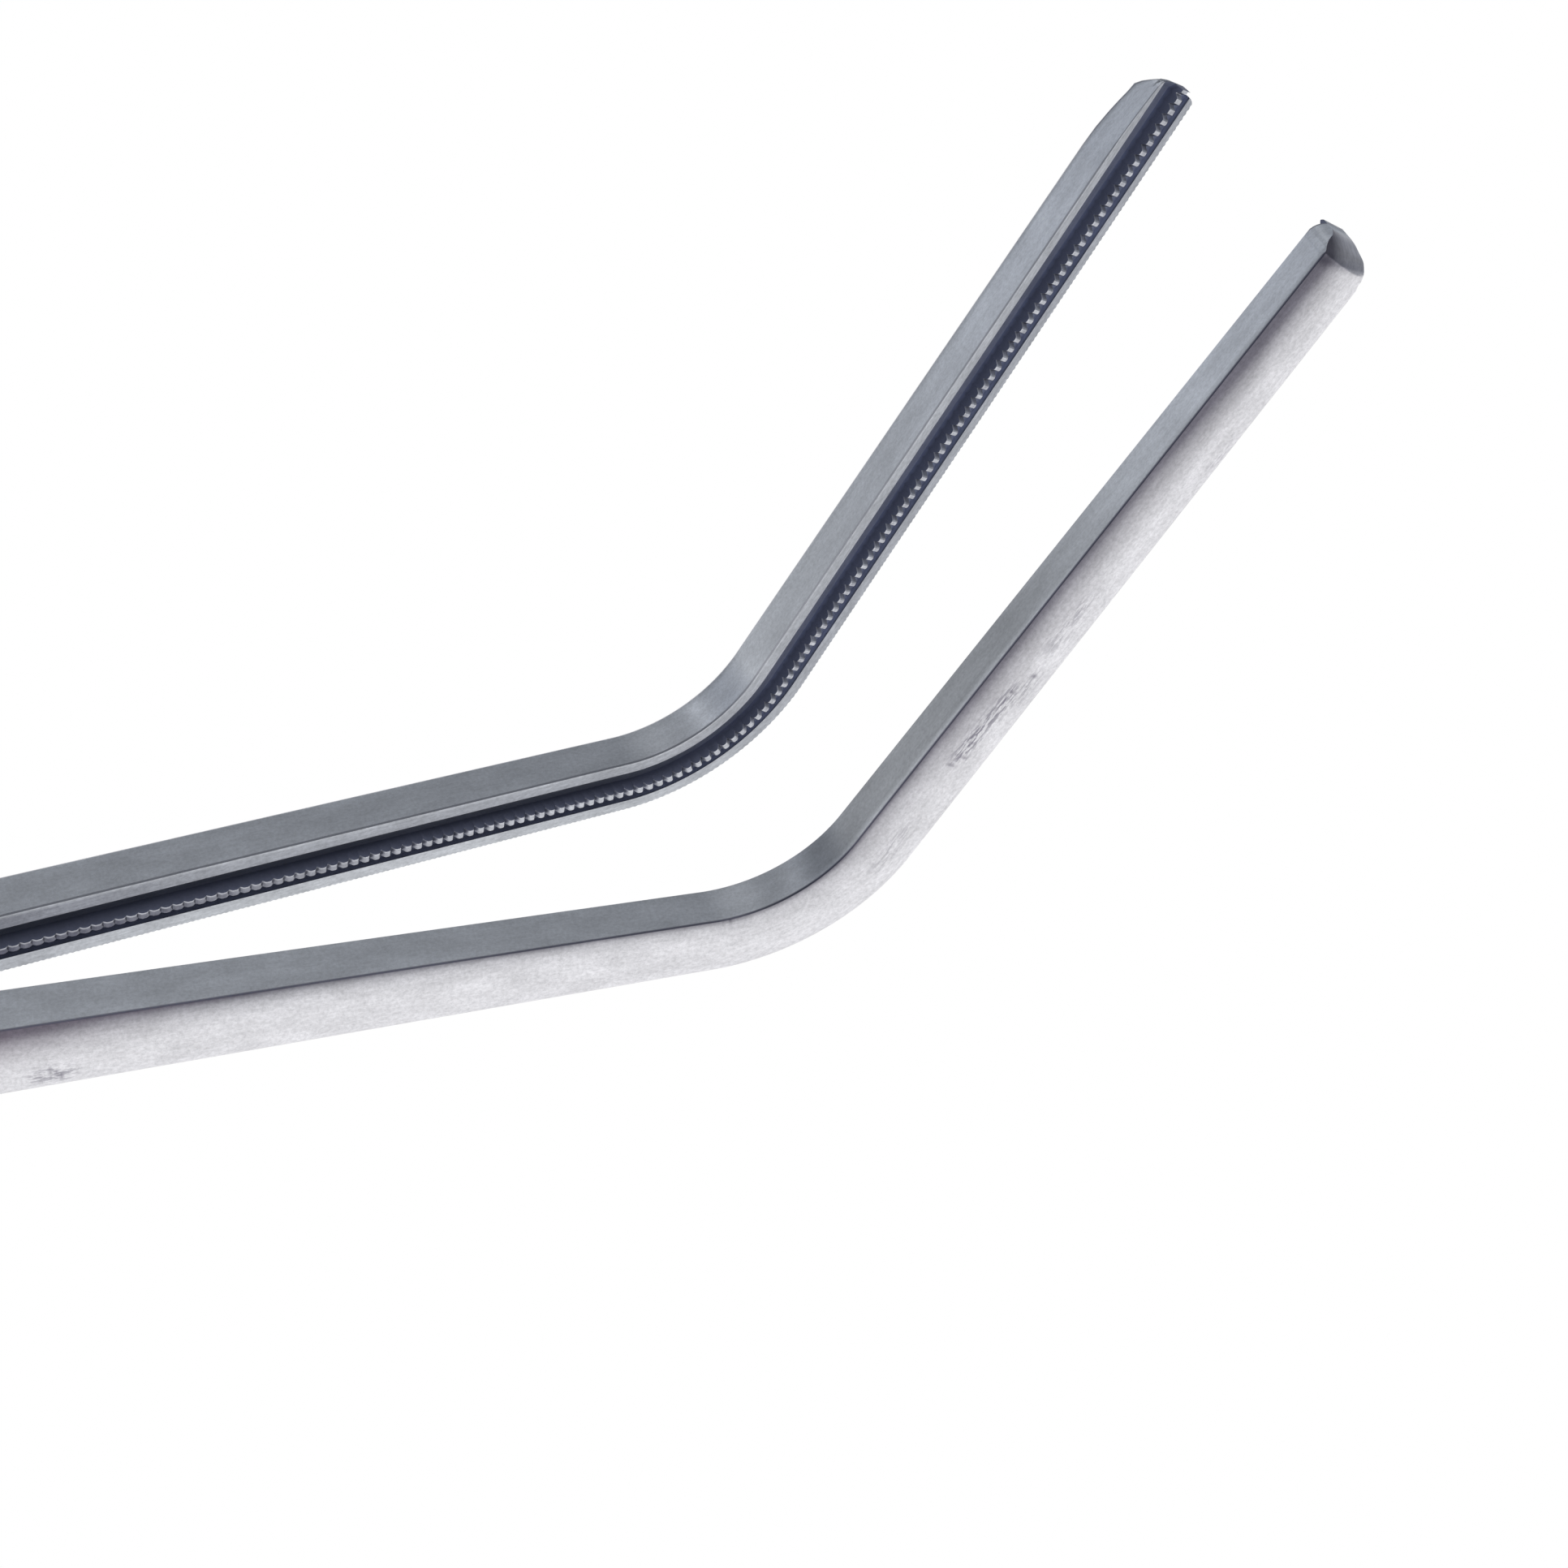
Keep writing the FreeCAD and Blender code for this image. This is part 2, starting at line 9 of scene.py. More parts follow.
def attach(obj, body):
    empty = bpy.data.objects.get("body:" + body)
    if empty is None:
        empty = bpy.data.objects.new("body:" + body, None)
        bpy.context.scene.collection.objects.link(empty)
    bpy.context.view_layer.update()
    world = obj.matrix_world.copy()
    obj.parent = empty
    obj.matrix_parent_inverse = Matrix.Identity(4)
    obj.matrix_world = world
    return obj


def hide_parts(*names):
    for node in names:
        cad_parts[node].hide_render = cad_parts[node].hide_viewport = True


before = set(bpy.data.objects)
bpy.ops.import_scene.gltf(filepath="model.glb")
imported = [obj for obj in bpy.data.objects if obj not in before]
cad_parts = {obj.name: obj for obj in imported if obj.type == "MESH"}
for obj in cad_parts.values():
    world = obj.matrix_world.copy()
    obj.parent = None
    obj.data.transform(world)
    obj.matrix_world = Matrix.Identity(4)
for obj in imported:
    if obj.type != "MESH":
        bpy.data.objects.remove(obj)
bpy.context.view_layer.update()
MM = 0.001

# Sizes of the clamp in millimetres, as in its solids
MID = 4.0
LOCK_HALF_LENGTH = 10.0
HALF_OPENING = math.radians(4.41)
FACE_GAP = 0.05
BEND_START = 87.6
BEND_ANGLE = math.radians(64.1)
BEND_RADIUS = 13.1
BEND_LENGTH = BEND_ANGLE * BEND_RADIUS
TIP_START = BEND_START + BEND_LENGTH
TIP_LENGTH = 52.0
JAW_END = TIP_START + TIP_LENGTH
GRIP_START = 15.0
PITCH = 0.8
BEND_TEETH = round(BEND_LENGTH / PITCH)
CHANNEL_HALF = 1.45
CHANNEL_DEPTH = 0.45
RIDGE_BASE = 0.42
RIDGE_TOP = 0.26
RIDGE_HEIGHT = 0.65
RIDGE_NOTCH = 0.42
RAIL_HALF = 1.33
RAIL_HEIGHT = 0.43
RAIL_NOTCH = 0.3
GROOVE_HALF = 0.54
GROOVE_DEPTH = 0.67
SHANK_END = 128.5
SHANK_ROOT_Y = 2.8
SHANK_END_Y = 8.0
RING_PLACE = 138.0
RING_Y = 17.6
RING_RADIUS = 14.3
RING_ROD_WIDTH = 4.6
RING_ROD_HEIGHT = 5.4
RATCHET_PLACE = 112.0
RATCHET_WIDTH = 6.0
RATCHET_END_GAP = 0.6
RATCHET_BAR = 1.8
RATCHET_TOOTH = 0.8
RATCHET_PITCH = 1.5
RATCHET_TEETH = 5
RATCHET_GAP = 0.06

# Jaw sections along the path: place, width, depth of the concave side, swell of the back, corner round
SECTIONS = np.array([
    [LOCK_HALF_LENGTH, 8.0, 5.05, 0.4, 0.6],
    [25.0, 5.6, 3.6, 1.25, 1.0],
    [BEND_START, 4.9, 3.0, 0.7, 1.0],
    [TIP_START, 4.9, 3.0, 0.7, 1.0],
    [JAW_END, 4.2, 2.4, 0.55, 1.0],
])
# Shank sections from the lock to the ring: place, width, height, corner round
SHANK_SECTIONS = np.array([
    [LOCK_HALF_LENGTH, 5.2, 8.0, 0.6],
    [30.0, 4.6, 6.0, 1.4],
    [SHANK_END, 3.2, 4.4, 1.4],
])

# Outline of each tip in the gripping face: distance before the end, and the width to each edge there
FAR_TIP_TOP = np.array([[9.0, 2.2], [6.0, 2.06], [4.5, 1.98], [3.0, 1.86], [2.0, 1.76], [1.4, 1.68],
                        [1.1, 1.6], [0.95, 1.48], [0.85, 1.25], [0.78, 0.9], [0.72, -0.5]])
FAR_TIP_LOW = np.array([[9.0, 2.3], [1.95, 2.12], [1.6, 2.06], [1.35, 1.85], [1.2, 1.56], [1.07, 0.9],
                        [1.0, 0.55], [0.72, 0.5]])
NEAR_TIP_TOP = np.array([[9.0, 2.3], [1.6, 2.14], [1.2, 2.1], [0.8, 2.0], [0.58, 1.9], [0.4, 1.77],
                         [0.25, 1.6], [0.12, 1.38], [0.05, 1.22], [0.0, 1.08]])
NEAR_TIP_LOW = np.array([[9.0, 2.3], [4.5, 2.06], [3.0, 1.88], [2.2, 1.72], [1.7, 1.52], [1.27, 1.33],
                         [0.9, 1.17], [0.6, 1.03], [0.4, 0.92], [0.2, 0.8], [0.1, 0.72], [0.0, 0.62]])
# Depth of each back near its end: distance before the end, and the share of the full depth
FAR_TIP_BACK = np.array([[7.5, 1.0], [5.95, 0.968], [4.8, 0.921], [3.7, 0.86], [3.0, 0.81], [2.25, 0.763],
                         [1.8, 0.607], [1.24, 0.32], [0.9, 0.13], [0.72, 0.08]])
NEAR_TIP_BACK = np.array([[1.8, 1.0], [1.5, 0.96], [1.25, 0.9], [1.05, 0.84], [0.9, 0.78], [0.7, 0.68],
                          [0.5, 0.58], [0.2, 0.46], [0.08, 0.36], [0.0, 0.2]])
FAR_TIP = (FAR_TIP_TOP, FAR_TIP_LOW, FAR_TIP_BACK)
NEAR_TIP = (NEAR_TIP_TOP, NEAR_TIP_LOW, NEAR_TIP_BACK)
# How far each jaw stops before the full length, and how far back its outlines trim it
FAR_SHORT = 0.72
NEAR_SHORT = 0.02
TIP_REACH = 9.0
# How much nearer to the end the near jaw's end facet starts on its outer side, and the distance from the
# end over which this slant sets in
NEAR_FACET_SLANT = 0.8
FACET_SET_IN = 0.5
# Thinnest stretch of a tip, and the depth of the gripping face's own shapes, which don't thin with the back
THINNEST = 0.1
FACE_SHAPES = 0.5

# Half the flat top of a tooth as a share of the pitch
TOOTH_FLAT = 0.21
# Width of the softened edges, and the small steps from both sides of the jaw to its back
EDGE = 0.1
CONCAVE_STEP = 0.03
CONVEX_STEP = 0.05
# Distance over which the shapes of the gripping faces set in
FACE_SET_IN = 0.01
# Most of a thin tip that the channel may take
CHANNEL_SHARE = 0.6
# Fine serration along the far jaw's convex edge
SERRATION_DEPTH = 0.07
SERRATION_PITCH = PITCH / 2
# Places between which the far jaw's notches lose a share of their depth to wear
WEAR = (78.0, 53.0)
WEAR_SHARE = 0.6
# The near rails dip shortly before the end, by a share of their height. Each of the dip's two slopes runs
# from none to full, as distances before the end.
RAIL_DIP = 0.86
RAIL_DIP_OUTER = (0.52, 0.64)
RAIL_DIP_INNER = (1.45, 1.3)
# Distances before the end between which the near groove runs out
GROOVE_ENDING = (0.12, 0.62)

# Sections to a tooth, and how many there are in the plain root and in the last stretch of the tip
ROWS_PER_TOOTH = 8
ROOT_ROWS = 12
TIP_ROWS = 70
TIP_FINE = 3.0
# Columns of the arc of the back and of its corner round
ARC_COLUMNS = 13
ROUND_COLUMNS = 5
# A section of the straight run, by which columns are measured and told apart
SAMPLE_ROW = 600
# Rows and columns of the shank and the ring, how far the shank reaches into the lock, the grid on which
# shank and ring flow together, and how often they are smoothed there
SHANK_OVERLAP = 0.3
SHANK_ROWS = 120
SHANK_COLUMNS = 48
RING_ROWS = 180
RING_COLUMNS = 36
VOXEL = 0.3
RELAX_STEPS = 6
LOCK_BEVEL = 0.12
RATCHET_BEVEL = 0.08
# Edges sharper than these angles stay sharp in the shading, are bevelled, or are more than a joint between
# two triangles of one flat face
SHARP_ANGLE = math.radians(28)
BEVEL_ANGLE = math.radians(35)
FLAT_ANGLE = math.radians(1)
# Distances in metres under which two points are one
WELD = 1e-6
FINE_WELD = 1e-7

# Painted light and shade along the concave sides: smooth steps (amount, from, to) that darken them in the
# bend and lighten them toward the tip, and painted highlights at the bend as soft spots (amount, place,
# reach)
SIDE_LEVEL = 0.97
FAR_SIDE_STEPS = [(-0.02, 91, 100), (0.5, 112, 142)]
FAR_SIDE_HIGHLIGHTS = [(0.12, 95.6, 0.9), (0.4, 98.0, 3.6)]
NEAR_SIDE_STEPS = [(-0.29, 91, 100), (-0.04, 108, 116), (0.7, 118, 143)]
NEAR_SIDE_HIGHLIGHTS = [(0.2, 96.2, 1.5)]
# Places between which the painted light and shade of the lock side and of the tip side set in
LOCK_SIDE = (62.0, 32.0)
TIP_SIDE = (BEND_START - 6, BEND_START + 20)
# Levels of the painted shade and light, and of the uneven darkening of the tooth tops, each as how dark,
# wide or light it is: its base, and what it gains toward the tip and toward the lock
LEVELS = {
    "crease_line": (0.93, -0.08, 0.0),
    "crease_width": (0.22, 0.13, 0.14),
    "crease": (0.0, 0.45, 0.95),
    "upper_land": (0.38, -0.12, 0.42),
    "lower_land": (0.05, 0.4, 0.25),
    "channel": (0.55, 1.2, 0.0),
    "notch": (0.75, -0.3, 0.0),
    "tip_top": (0.0, 0.45, 0.0),
}
# More smooth steps (amount, from, to) of the wide painted shade beside the crease, the width of the
# crease's painted dark line, the most that both cover together, and how far the painted shade covers the
# edge beside them
CREASE_STEPS = [(0.15, 45, 57), (-0.15, 82, 96), (0.24, 106, 118), (0.3, 134, 146)]
CREASE_LINE_WIDTH = 0.045
DARKEST = 0.92
DEEP_EDGE = 0.85
# The painted shade under the end facet: distance before the end, reach, and what it loses across the back
UNDER_FACET = (1.45, 0.32)
UNDER_FACET_LOSS = 0.8
# How far that painted shade and the small marks cover the steel
SPOT_LEVEL = 0.7
# Places between which painted shade darkens the tooth tops toward the lock, how dark, and what the uneven
# darkening adds
DARK_TOPS = (85.0, 45.0)
DARK_TOP_LEVEL = 0.8
DARK_TOP_UNEVEN = 0.15
# Widths between which painted light makes the channel lighter toward the convex side, and by how much
CHANNEL_LIGHT = (0.9, -0.3)
CHANNEL_LIGHT_GAIN = 0.7
# Share of the tooth wave at which a notch's painted shade is full, and how much of that is lost where teeth
# are worn
NOTCH_FULL = 0.4
WORN_NOTCH_LOSS = 0.7
# Small dark marks on the near jaw's back: place, and the share of the way from the inner edge
MARKS = [(42.4, 0.64), (42.8, 0.7), (43.1, 0.75), (89.1, 0.03), (110.9, 0.42), (111.8, 0.51), (113.1, 0.46),
         (117.8, 0.47), (119.5, 0.59), (145.4, 0.95), (145.8, 0.97)]
MARK_LENGTH = 0.14
MARK_WIDTH = 0.05
# Scuffed stretches of the near jaw's back: place, half length, share across, strength
SCUFFS = [(113.0, 2.0, 0.44, 1.0), (116.0, 2.6, 0.46, 0.9), (118.5, 1.6, 0.62, 0.5),
          (124.0, 2.8, 0.52, 0.45), (103.0, 2.4, 0.5, 0.4), (42.5, 1.6, 0.7, 0.7), (139.0, 1.4, 0.8, 0.3)]
SCUFF_WIDTH = 0.12
# What the steel's own colour is multiplied by where a painted shade, the darkening of the tooth tops or a
# small mark covers it fully
SHADES = {
    "deep_edge": (0.18, 0.18, 0.26),
    "crease": (0.17, 0.16, 0.2),
    "under_facet": (0.3, 0.3, 0.36),
    "mark": (0.2, 0.18, 0.24),
    "upper_land": (0.34, 0.34, 0.4),
    "lower_land": (0.4, 0.4, 0.45),
    "top_shade_toward_lock": (0.16, 0.16, 0.21),
    "notch": (0.22, 0.23, 0.3),
    "tip_top": (0.3, 0.3, 0.36),
}
# What the crease's painted shade gains toward the lock
CREASE_WARMTH = np.array([0.12, 0.08, 0.09])
SCRATCH_TINT = (0.2, 0.19, 0.24, 1)


def rise(place, none, full):
    """0 at the place none, 1 at the place full, and the smooth step 3t^2 - 2t^3 between them."""
    t = np.clip((place - none) / (full - none), 0, 1)
    return t * t * (3 - 2 * t)


def bell(place, centre, reach, power=2):
    """A soft spot: e to the minus of the distance from the centre over the reach, squared or to a higher
    even power."""
    return np.exp(-((place - centre) / reach) ** power)


def stepped(place, steps):
    """Sum of smooth steps, each an amount and the places between which it sets in."""
    return sum(amount * rise(place, *stretch) for amount, *stretch in steps)


def level_at(place, name):
    """A level at each place: its base, and its gains times how far the place is on the tip side and on the
    lock side."""
    base, toward_tip, toward_lock = LEVELS[name]
    return base + stepped(place, [(toward_tip, *TIP_SIDE), (toward_lock, *LOCK_SIDE)])


def path(place):
    """Centre line of a jaw: straight, then an arc of BEND_RADIUS through BEND_ANGLE, then straight.
    Gives x, z and the direction angle at each length along it."""
    turn = np.clip((place - BEND_START) / BEND_RADIUS, 0, BEND_ANGLE)
    run = np.clip(place - TIP_START, 0, None)
    x = np.minimum(place, BEND_START) + BEND_RADIUS * np.sin(turn) + run * math.cos(BEND_ANGLE)
    z = MID + BEND_RADIUS * (1 - np.cos(turn)) + run * math.sin(BEND_ANGLE)
    return x, z, turn


def tooth_wave(place):
    """Depth of the notches along the jaw: 0 on each flat crest and 1 at the bottom of each V between two,
    with whole teeth on each run."""
    straight = (place - BEND_START) / PITCH
    bend = (place - BEND_START) / BEND_LENGTH * BEND_TEETH
    distal = (place - TIP_START) / PITCH + BEND_TEETH
    phase = np.where(place < BEND_START, straight, np.where(place < TIP_START, bend, distal))
    return np.clip((np.abs(phase - np.round(phase)) - TOOTH_FLAT) / (0.5 - TOOTH_FLAT), 0, 1)


def jaw_places(far):
    """Lengths along the jaw where a section is drawn: ROWS_PER_TOOTH to a tooth, closer at the tip."""
    step = PITCH / ROWS_PER_TOOTH
    bend_rows = ROWS_PER_TOOTH * BEND_TEETH
    root = np.linspace(LOCK_HALF_LENGTH, GRIP_START - FACE_SET_IN, ROOT_ROWS)
    straight = BEND_START - np.arange(round((BEND_START - GRIP_START) / step), -1, -1) * step
    bend = BEND_START + BEND_LENGTH * np.arange(1, bend_rows + 1) / bend_rows
    distal = bend[-1] + np.arange(1, round((TIP_LENGTH - TIP_FINE) / step)) * step
    tip = np.linspace(JAW_END - TIP_FINE, JAW_END - (FAR_SHORT if far else NEAR_SHORT), TIP_ROWS)
    return np.concatenate([root, straight, bend, distal, tip])


def jaw_sizes(place):
    """Width, depth, swell and corner round of the jaw at each place, straight between SECTIONS."""
    return [np.interp(place, SECTIONS[:, 0], column) for column in SECTIONS.T[1:]]


def tip_table(table, left):
    """A tip's curve, read at each distance left to the end of the jaw."""
    return np.interp(left, table[::-1, 0], table[::-1, 1])


def far_face(place, low, half):
    """Strips of the far jaw's gripping face, from the convex edge low to the concave edge half: a channel
    with one toothed ridge in its middle. The crest lies at the ridge's height less the tooth wave, which
    is shallower where the ridge is worn, and the channel gets shallower where the tip thins."""
    zero = np.zeros_like(place)
    toothed = place >= GRIP_START
    notch = RIDGE_NOTCH * tooth_wave(place) * (1 - WEAR_SHARE * rise(place, *WEAR))
    crest = -np.where(toothed, RIDGE_HEIGHT - notch, 0)
    depth = jaw_sizes(place)[1] * tip_table(FAR_TIP_BACK, JAW_END - place)
    floor = np.where(toothed, np.minimum(CHANNEL_DEPTH, CHANNEL_SHARE * depth), 0)
    channel, base, top = zero + CHANNEL_HALF, zero + RIDGE_BASE, zero + RIDGE_TOP
    return [
        ("land", (low + EDGE, zero), (-channel, zero), 4),
        ("channel", (-channel, zero), (-channel, floor), 2),
        ("channel", (-channel, floor), (-base, floor), 3),
        ("ridge", (-base, floor), (-top, crest), 3),
        ("crest", (-top, crest), (top, crest), 3),
        ("ridge", (top, crest), (base, floor), 3),
        ("channel", (base, floor), (channel, floor), 4),
        ("channel", (channel, floor), (channel, zero), 2),
        ("land", (channel, zero), (half - EDGE, zero), 4),
    ]


def near_face(place, low, half):
    """Strips of the near jaw's gripping face, from the convex edge low to the concave edge half: two toothed
    rails with a groove between them. The crests lie at the rails' height less the tooth wave, dip shortly
    before the end, and the groove runs out there."""
    zero = np.zeros_like(place)
    toothed = place >= GRIP_START
    left = JAW_END - place
    crest = -np.where(toothed, RAIL_HEIGHT - RAIL_NOTCH * tooth_wave(place), 0)
    crest = crest * (1 - RAIL_DIP * rise(left, *RAIL_DIP_OUTER) * rise(left, *RAIL_DIP_INNER))
    floor = np.where(toothed, crest + (GROOVE_DEPTH - crest) * rise(left, *GROOVE_ENDING), 0)
    rail, groove = zero + RAIL_HALF, zero + GROOVE_HALF
    return [
        ("land", (low + EDGE, zero), (-rail, zero), 4),
        ("ridge", (-rail, zero), (-rail, crest), 2),
        ("ridge", (-rail, crest), (-groove, crest), 2),
        ("channel", (-groove, crest), (-groove, floor), 3),
        ("channel", (-groove, floor), (groove, floor), 2),
        ("channel", (groove, floor), (groove, crest), 3),
        ("ridge", (groove, crest), (rail, crest), 2),
        ("ridge", (rail, crest), (rail, zero), 2),
        ("land", (rail, zero), (half - EDGE, zero), 4),
    ]


def strip_columns(strips):
    """Columns of a section from its strips. A strip is a zone, its start and its end, each a pair (width,
    depth) of arrays along the jaw, and a number of even steps, whose last point the next strip begins."""
    columns = []
    for zone, start, end, count in strips:
        for k in np.linspace(0, 1, count, endpoint=False):
            columns.append((zone, *(a + (b - a) * k for a, b in zip(start, end))))
    return columns


def jaw_section(place, far):
    """Closed section at each place, going round from the convex edge of the gripping face.
    Width w runs toward the concave side and depth d away from the gripping face.
    With width W, depth T and swell S, the back is an arc of radius ((W - r)^2 + S^2) / 2S that starts at
    depth T on the concave edge and reaches T + S where the corner round begins, a quarter circle of radius
    r. Gives w, d and the zone of each column."""
    width, depth, swell, corner = jaw_sizes(place)
    half = width / 2
    zero = np.zeros_like(place)
    serration = SERRATION_DEPTH * (0.5 - 0.5 * np.cos(2 * math.pi * place / SERRATION_PITCH))
    low = -half + np.where(place >= GRIP_START, serration, 0) * far
    face = far_face if far else near_face
    columns = strip_columns(face(place, low, half) + [
        ("edge", (half - EDGE, zero), (half, zero + EDGE), 2),
        ("side", (half, zero + EDGE), (half, depth - EDGE), 6),
        ("edge", (half, depth - EDGE), (half - EDGE, depth + CONCAVE_STEP), 2),
    ])
    radius = ((width - corner) ** 2 + swell ** 2) / (2 * swell)
    sweep = np.arcsin((width - corner) / radius)
    for k in np.linspace(EDGE / 4, 1, ARC_COLUMNS):
        angle = sweep * (1 - k)
        back_w = -half + corner + radius * np.sin(angle)
        back_d = depth + swell - radius * (1 - np.cos(angle))
        columns.append(("back", back_w, back_d))
    for k in np.linspace(0, 1, ROUND_COLUMNS + 1)[1:]:
        angle = k * math.pi / 2
        round_w = -half + corner - corner * math.sin(angle)
        round_d = depth + swell - corner + corner * math.cos(angle)
        columns.append(("back", round_w, round_d))
    start = (-half, depth + swell - corner - CONVEX_STEP)
    columns += strip_columns([("side", start, (low, zero + EDGE), 4)])
    columns.append(("edge", low, zero + EDGE))
    zones, w, d = zip(*columns)
    return np.stack(w, 1), np.stack(d, 1), np.array(zones)


def shaped_tip(place, w, d, far):
    """Trims the sections near the end to the outline of the tip, and thins the back toward it: the depth is
    the full depth times the share that the back's curve gives. On the near jaw the curve is read farther
    from the end the nearer a point is to the outer side, which slants the end facet."""
    left = (JAW_END - place)[:, None]
    near_end = left < TIP_REACH
    top, low, back = FAR_TIP if far else NEAR_TIP
    w = np.where(near_end, np.clip(w, -tip_table(low, left), tip_table(top, left)), w)
    width, depth, swell, _ = (size[:, None] for size in jaw_sizes(place))
    outward = np.clip((width / 2 - w) / width, 0, 1)
    slant = 0.0 if far else NEAR_FACET_SLANT * outward * rise(left, 0, FACET_SET_IN)
    share = tip_table(back, left + slant)
    full = (depth + swell) * share
    thinned = np.where(d > FACE_SHAPES, d * share, d) if far else np.minimum(d, full)
    return w, np.where(near_end, np.minimum(thinned, np.maximum(full, THINNEST)), d)


def blend(tone, columns, share, shade):
    """Blends the tone of the columns toward its product with a shade, by a share between 0 and 1."""
    area = tone[:, columns]
    share = np.broadcast_to(share, area.shape[:2])[..., None]
    tone[:, columns] = area * (1 - share) + area * share * np.array(shade)


def paint_near_back(tone, place, w, d, zone):
    """Painted shade on the near jaw's back, and its small marks: a painted dark line along the inner edge,
    which falls off as e to the minus of the share across, a wider painted shade beside it, which falls off
    as a bell and is stronger toward the lock and the tip, painted shade on the inner edge itself and under
    the end facet, and the small marks. Gives how scuffed each point is."""
    back = zone == "back"
    width = jaw_sizes(place)[0]
    across = np.clip((width / 2 - w[:, back]) / width, 0, 1)

    # Painted shade on the inner edge, and a painted dark line and wider painted shade beside it along the
    # crease
    inner_edges = np.flatnonzero((zone == "edge") & (d[SAMPLE_ROW] > FACE_SHAPES))
    blend(tone, inner_edges[-1:], DEEP_EDGE, SHADES["deep_edge"])
    dark_line = np.exp(-across / CREASE_LINE_WIDTH) * level_at(place, "crease_line")
    strength = level_at(place, "crease") + stepped(place, CREASE_STEPS)
    wide = bell(across, 0, level_at(place, "crease_width")) * strength
    shade = CREASE_WARMTH * rise(place, *LOCK_SIDE)[..., None] + np.array(SHADES["crease"])
    blend(tone, back, np.clip(dark_line + wide, 0, DARKEST), shade)

    # Painted shade under the end facet
    under_facet = bell(JAW_END - place + NEAR_FACET_SLANT * across, *UNDER_FACET)
    under_facet = under_facet * (1 - UNDER_FACET_LOSS * across)
    blend(tone, back, SPOT_LEVEL * under_facet, SHADES["under_facet"])
    for where, share in MARKS:
        spot = bell(place, where, MARK_LENGTH) * bell(across, share, MARK_WIDTH)
        blend(tone, back, SPOT_LEVEL * spot, SHADES["mark"])
    scuffed = np.zeros(w.shape)
    for where, reach, share, amount in SCUFFS:
        area = amount * bell(place, where, reach, 4) * bell(across, share, SCUFF_WIDTH)
        scuffed[:, back] = np.maximum(scuffed[:, back], area)
    return scuffed


def paint_far_face(tone, place, w, zone):
    """Painted light and shade on the far jaw's gripping face: painted shade on both lands, painted light in
    the channel, lighter toward its convex side and toward the tip, painted shade on the tooth tops toward
    the lock and in the notches, and an uneven darkening of the tops, which is a sum of two waves along the
    jaw, the first with a third wave in its phase."""
    upper_land = (zone == "land") & (w[SAMPLE_ROW] > 0)
    lower_land = (zone == "land") & (w[SAMPLE_ROW] < 0)
    channel = zone == "channel"
    crest = zone == "crest"

    # Painted shade on both lands
    blend(tone, upper_land, level_at(place, "upper_land"), SHADES["upper_land"])
    blend(tone, lower_land, level_at(place, "lower_land"), SHADES["lower_land"])
    uneven = 0.5 + 0.3 * np.sin(place * 7.3 + 2 * np.sin(place * 3.1)) + 0.2 * np.sin(place * 1.7)
    # Painted shade on the tooth tops toward the lock
    dark_tops = (DARK_TOP_LEVEL + DARK_TOP_UNEVEN * uneven) * rise(place, *DARK_TOPS)
    blend(tone, crest, dark_tops, SHADES["top_shade_toward_lock"])
    # Painted light in the channel, more toward its convex side and toward the tip
    convex_side = rise(w[:, channel], *CHANNEL_LIGHT)
    tone[:, channel] *= (level_at(place, "channel") + CHANNEL_LIGHT_GAIN * convex_side)[..., None]
    # The channel's first column is also the end of the land, so it takes the land's tone
    lower_lip = np.flatnonzero(channel)[0]
    tone[:, lower_lip] = tone[:, lower_lip - 1]
    # Painted shade in the notches, and an uneven darkening of the tops toward the tip
    notch = rise(tooth_wave(place), 0, NOTCH_FULL) * (1 - WORN_NOTCH_LOSS * rise(place, *WEAR))
    blend(tone, crest, notch * level_at(place, "notch"), SHADES["notch"])
    blend(tone, crest, uneven * level_at(place, "tip_top"), SHADES["tip_top"])


def jaw_light_and_marks(place, w, d, zone, far):
    """Painted light and shade on the jaws, and the small dark marks on the near jaw's back, as a colour that
    each point's steel is multiplied by, with how scuffed the point is as a fourth value."""
    tone = np.ones((*w.shape, 3))
    scuffed = np.zeros(w.shape)
    place = place[:, None]
    # Painted light and shade along the concave side, with painted highlights at the bend
    steps, spots = (FAR_SIDE_STEPS, FAR_SIDE_HIGHLIGHTS) if far else (NEAR_SIDE_STEPS, NEAR_SIDE_HIGHLIGHTS)
    level = SIDE_LEVEL + stepped(place, steps) + sum(amount * bell(place, *spot) for amount, *spot in spots)
    tone[:, zone == "side"] *= level[..., None]
    if far:
        paint_far_face(tone, place, w, zone)
    else:
        scuffed = paint_near_back(tone, place, w, d, zone)
    return np.concatenate([tone, scuffed[..., None]], -1)


def turned(points, angle):
    """Points swung about the pin: x cos a - y sin a, x sin a + y cos a."""
    c, s = math.cos(angle), math.sin(angle)
    x, y, z = np.moveaxis(points, -1, 0)
    return np.stack([c * x - s * y, s * x + c * y, z], -1)


